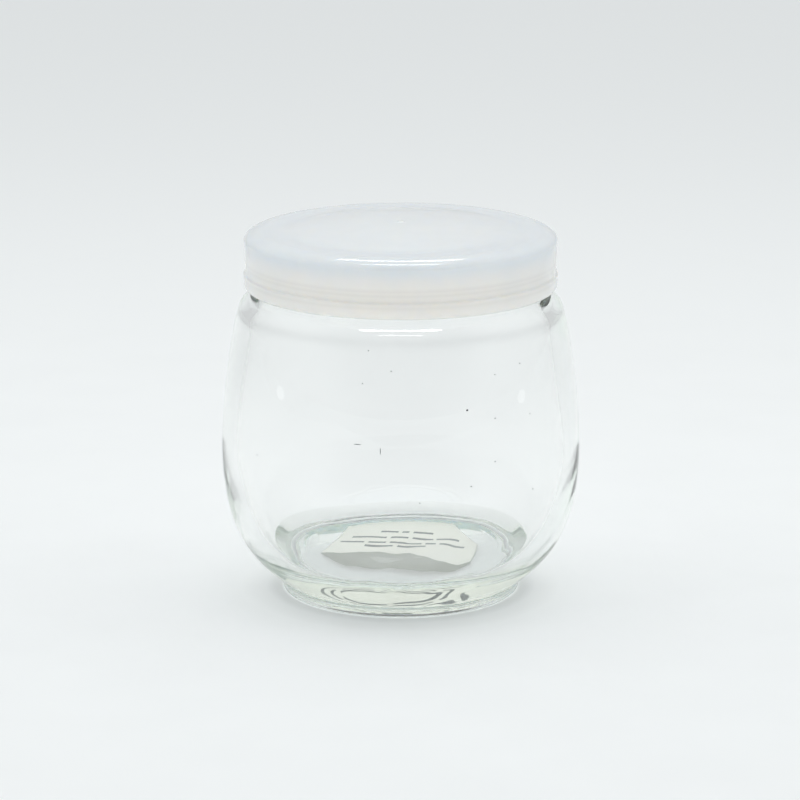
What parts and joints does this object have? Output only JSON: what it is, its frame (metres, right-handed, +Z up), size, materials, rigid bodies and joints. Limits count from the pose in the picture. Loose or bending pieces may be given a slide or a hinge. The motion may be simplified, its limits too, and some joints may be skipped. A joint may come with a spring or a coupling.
{
  "type": "glass jar",
  "caption": "Squat round-bellied clear glass jar, empty, with a translucent press-on plastic lid and a plain paper sticker under its concave base.",
  "frame": {"origin": "centre of the foot ring, on the surface that the jar stands on", "axes": "+Z up along the jar's axis, -Y towards the viewer, +X to the viewer's right"},
  "size_m": [0.0752, 0.0752, 0.0785],
  "materials": {
    "clear_glass": "polished",
    "milky_plastic": "satin",
    "sticker_paper": "matte"
  },
  "bodies": {
    "root": {"jar": "clear_glass", "lid": "milky_plastic", "sticker": "sticker_paper"}
  },
  "joints": []
}
